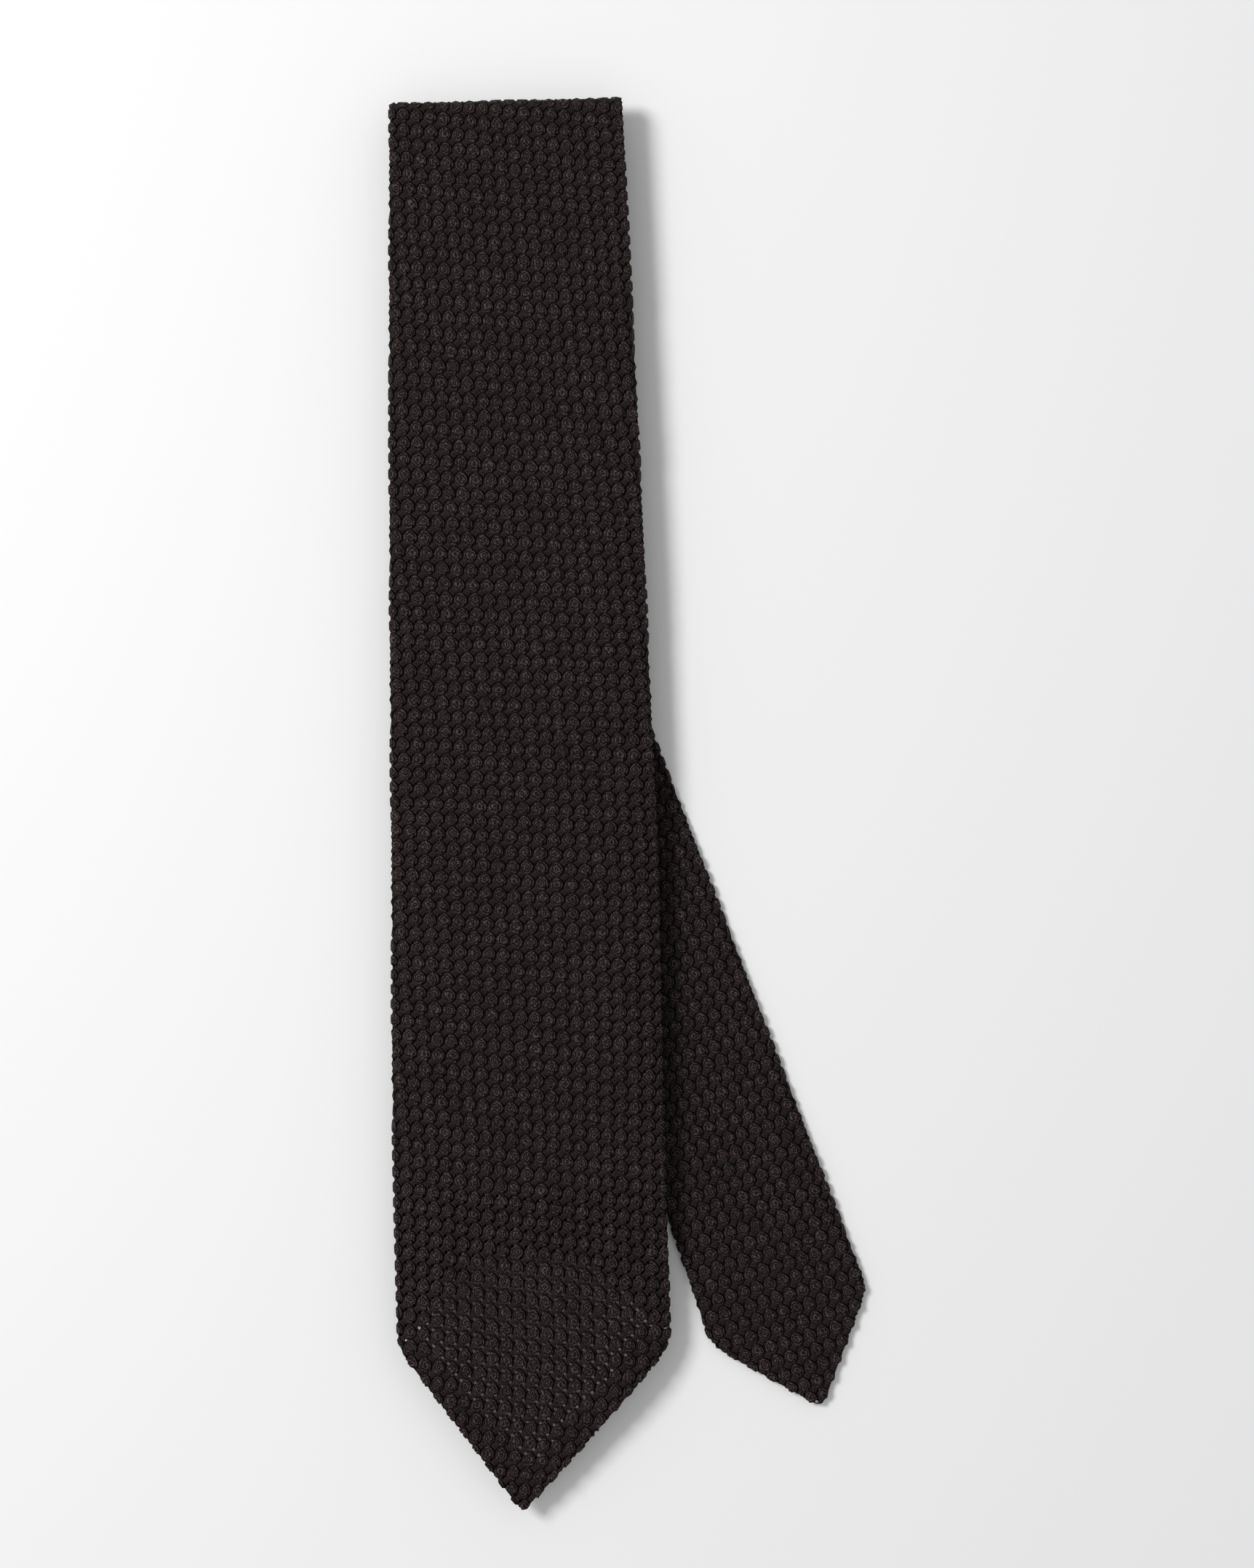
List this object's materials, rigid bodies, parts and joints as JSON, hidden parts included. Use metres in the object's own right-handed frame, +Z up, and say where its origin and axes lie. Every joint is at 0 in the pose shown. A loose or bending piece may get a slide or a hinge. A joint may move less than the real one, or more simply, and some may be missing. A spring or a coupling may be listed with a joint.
{
  "type": "necktie",
  "caption": "Hand-rolled woven necktie folded in four lengths, with a wool interlining, rolled hems, a keeper loop and folds that open out flat.",
  "frame": {"origin": "middle of the folded tie's outline, at the height of the surface it lies on", "axes": "+Y along the wide blade from its point to the top fold, +X towards the side where the tail fans out, +Z up from the table to the blade's face"},
  "size_m": [0.1368, 0.412, 0.0121],
  "materials": {
    "silk": "matte open-weave grenadine silk, very dark brown",
    "silk_hem": "the same silk, doubled",
    "wool": "brushed dark wool interlining",
    "thread": "silk sewing thread",
    "label": "plain woven label, blank"
  },
  "bodies": {
    "tail_top": {"tail_top_cloth": "silk", "tail_top_wool": "wool", "tail_top_slip_stitch": "thread", "tail_fold_cloth": "silk", "tail_fold_wool": "wool"},
    "tail": {"tail_cloth": "silk", "tail_wool": "wool", "tail_hem_left": "silk_hem", "tail_hem_right": "silk_hem", "tail_hem_stitches": "thread", "tail_slip_stitch": "thread", "tail_bar_tack": "thread"},
    "neck": {"neck_cloth": "silk", "neck_cloth_tail": "silk", "neck_joining_edges": "silk_hem", "neck_wool": "wool", "neck_slip_stitch": "thread", "neck_fold_cloth": "silk", "neck_fold_wool": "wool"},
    "blade_back": {"back_cloth_wide": "silk", "back_cloth_narrow": "silk", "back_joining_edges": "silk_hem", "back_wool": "wool", "back_slip_stitch": "thread", "blade_fold_cloth": "silk", "blade_fold_wool": "wool"},
    "blade": {"blade_cloth": "silk", "blade_wool": "wool", "blade_hem_left": "silk_hem", "blade_hem_right": "silk_hem", "blade_hem_stitches": "thread", "blade_slip_stitch": "thread", "blade_bar_tack": "thread", "keeper": "silk", "keeper_stitches": "thread", "blank_label": "label", "label_stitches": "thread", "care_label": "label"}
  },
  "joints": [
    {"name": "tail_swing", "type": "hinge", "parent": "tail_top", "child": "tail", "pos_m": [-0.0284, 0.07, 0], "axis": [0, 0, 1], "range_deg": [-38.4, 15.6]},
    {"name": "tail_fold", "type": "hinge", "parent": "tail_top", "child": "neck", "pos_m": [-0.0284, 0.20035, 0.00265], "axis": [-1, 0, 0], "range_deg": [0, 180], "deforming": ["tail_fold_cloth", "tail_fold_wool"]},
    {"name": "neck_fold", "type": "hinge", "parent": "neck", "child": "blade_back", "pos_m": [-0.0284, -0.13135, 0.00545], "axis": [1, 0, 0], "range_deg": [0, 180], "deforming": ["neck_fold_cloth", "neck_fold_wool"]},
    {"name": "blade_fold", "type": "hinge", "parent": "blade_back", "child": "blade", "pos_m": [-0.0284, 0.20275, 0.00885], "axis": [-1, 0, 0], "range_deg": [0, 180], "deforming": ["blade_fold_cloth", "blade_fold_wool"]}
  ],
  "couplings": [
    {"joint": "blade_fold", "follows": "neck_fold", "ratio": 1}
  ]
}
